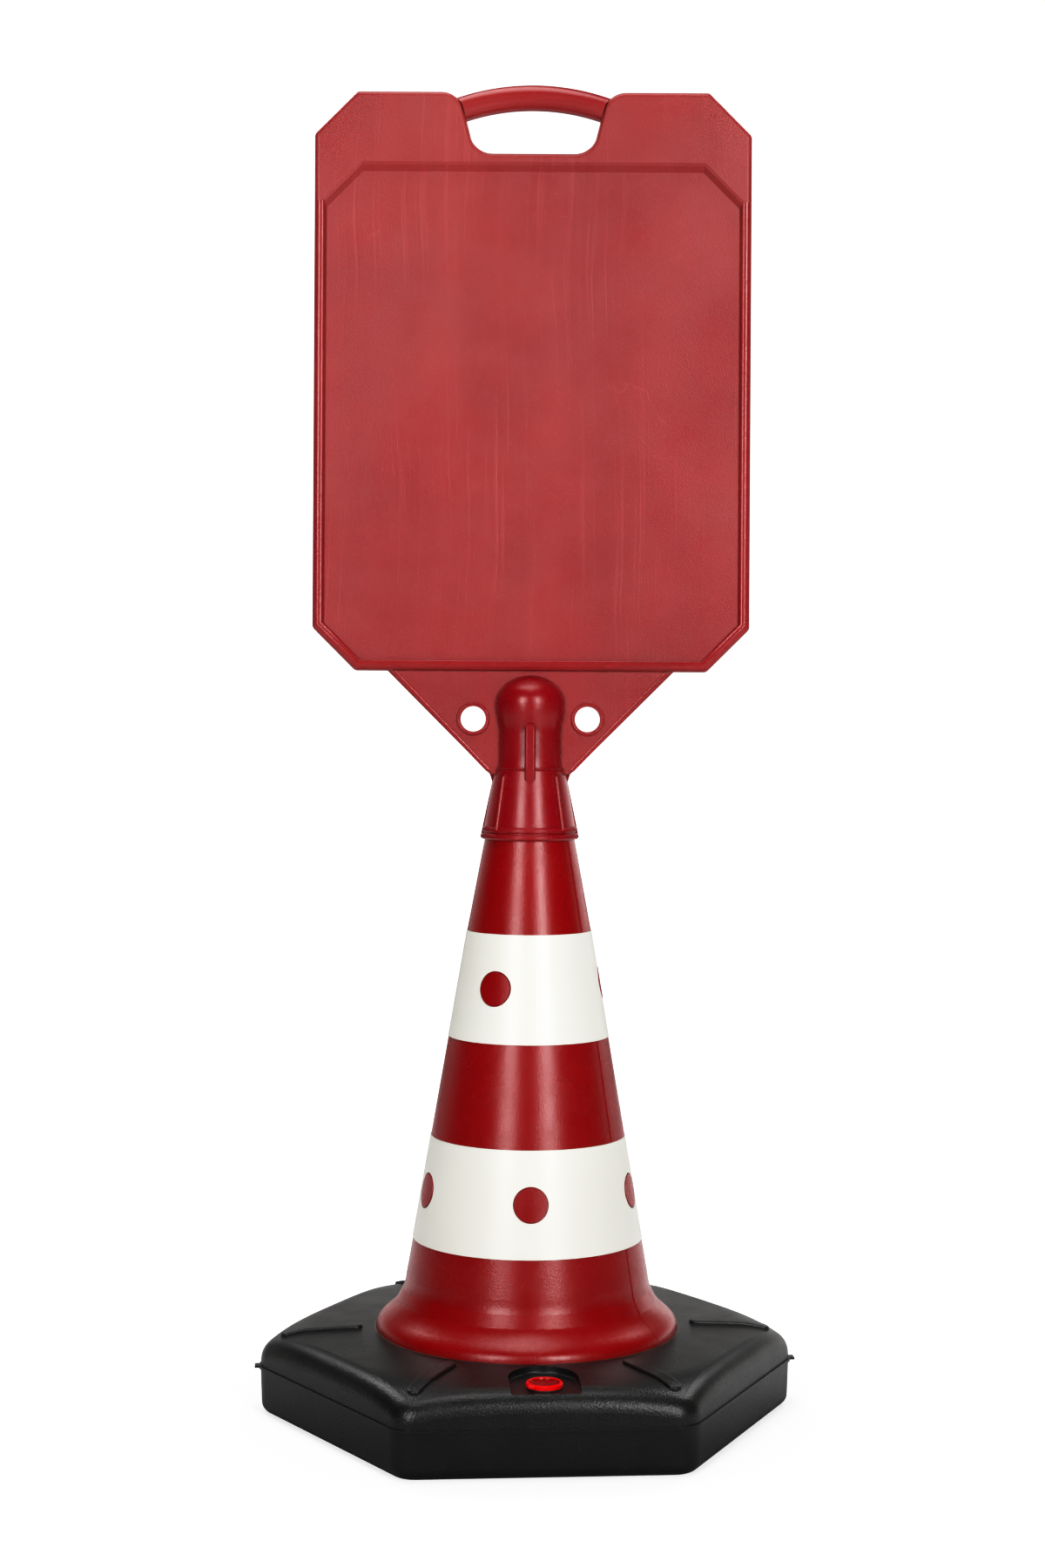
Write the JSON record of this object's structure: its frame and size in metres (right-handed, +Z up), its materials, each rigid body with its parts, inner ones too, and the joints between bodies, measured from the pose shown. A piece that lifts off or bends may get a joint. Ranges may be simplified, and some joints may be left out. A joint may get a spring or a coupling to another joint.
{
  "type": "sign cone",
  "caption": "Traffic cone with white sleeves on a hexagonal ballast base, carrying a sign board with a carry handle that swivels on the cone's head.",
  "frame": {"origin": "centre of the underside of the ballast base, on the cone's axis", "axes": "+Z up along the cone's axis, the front face of the sign board looks along -Y, +X to the board's right as seen from the front"},
  "size_m": [0.4708, 0.424, 1.1525],
  "materials": {
    "black_polyethylene": "fine grained satin black",
    "bright_red_polyethylene": "smooth bright red",
    "seal_rubber": "matt black",
    "cone_red_polyethylene": "fine grained satin deep red",
    "white_sleeve_plastic": "semi-gloss warm white",
    "board_red_polyethylene": "satin red with upright flow lines"
  },
  "bodies": {
    "base": {"ballast_base": "black_polyethylene"},
    "plug": {"filler_plug": "bright_red_polyethylene", "plug_seal": "seal_rubber"},
    "cone": {"cone_body": "cone_red_polyethylene", "lower_sleeve": "white_sleeve_plastic", "upper_sleeve": "white_sleeve_plastic"},
    "sign": {"sign_board": "board_red_polyethylene", "carry_handle": "board_red_polyethylene", "gusset_plate": "board_red_polyethylene", "sign_socket": "board_red_polyethylene"}
  },
  "joints": [
    {"name": "plug_pull", "type": "slide", "parent": "base", "child": "plug", "axis": [0, 0, 1], "range_m": [0, 0.05]},
    {"name": "cone_lift", "type": "slide", "parent": "base", "child": "cone", "axis": [0, 0, 1], "range_m": [0, 0.06]},
    {"name": "sign_swivel", "type": "hinge", "parent": "cone", "child": "sign", "pos_m": [0, 0, 0.57], "axis": [0, 0, 1], "continuous": true}
  ]
}
